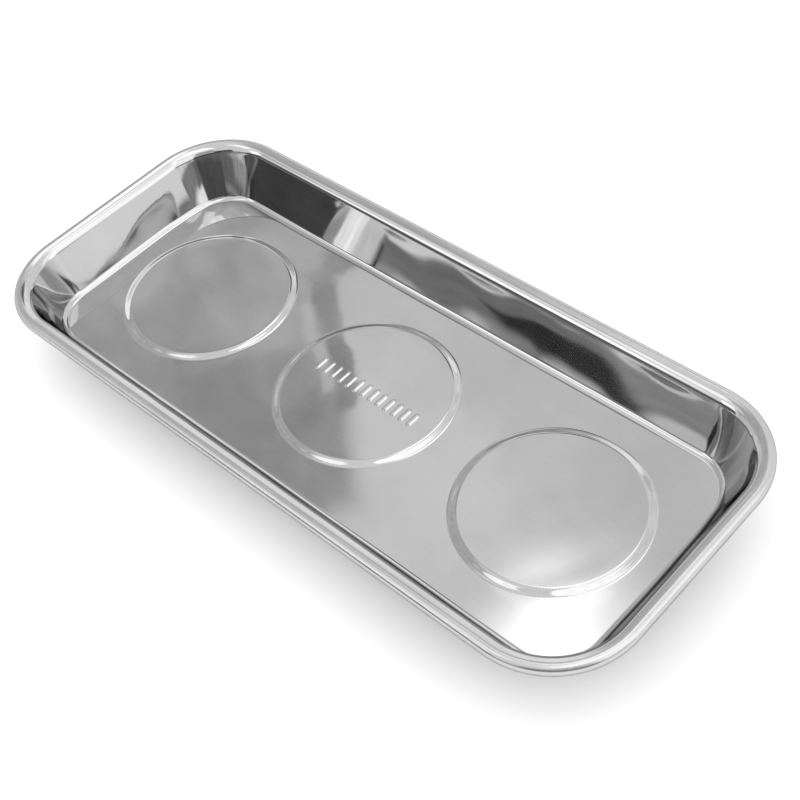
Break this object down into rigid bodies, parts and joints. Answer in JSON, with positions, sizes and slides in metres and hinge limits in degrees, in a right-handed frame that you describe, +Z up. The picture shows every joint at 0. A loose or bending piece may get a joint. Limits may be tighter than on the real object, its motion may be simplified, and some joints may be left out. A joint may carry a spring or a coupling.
{
  "type": "magnetic parts tray",
  "caption": "Shallow rectangular polished steel tray with a rolled rim and raised round discs, standing on ring magnets in steel cups with rubber boots.",
  "frame": {"origin": "centre of the rest plane, which is the underside of the three boots", "axes": "+X along the tray, +Y across it, +Z up out of the pan"},
  "size_m": [0.36, 0.159, 0.0378],
  "materials": {
    "polished_steel": "mirror-polished stainless sheet",
    "plated_steel": "bright zinc plate on pressed steel",
    "ferrite": "ground sintered ferrite, matt charcoal",
    "boot_rubber": "moulded black rubber, matt",
    "stud_steel": "stainless stud, as turned",
    "fastener_steel": "bright zinc plate"
  },
  "bodies": {
    "root": {"tray_pan": "polished_steel", "left_magnet_cup": "plated_steel", "middle_magnet_cup": "plated_steel", "right_magnet_cup": "plated_steel", "left_ring_magnet": "ferrite", "middle_ring_magnet": "ferrite", "right_ring_magnet": "ferrite", "left_rubber_boot": "boot_rubber", "middle_rubber_boot": "boot_rubber", "right_rubber_boot": "boot_rubber", "weld_studs": "stud_steel", "plain_washers": "fastener_steel", "spring_washers": "fastener_steel", "hex_nuts": "fastener_steel"}
  },
  "joints": []
}
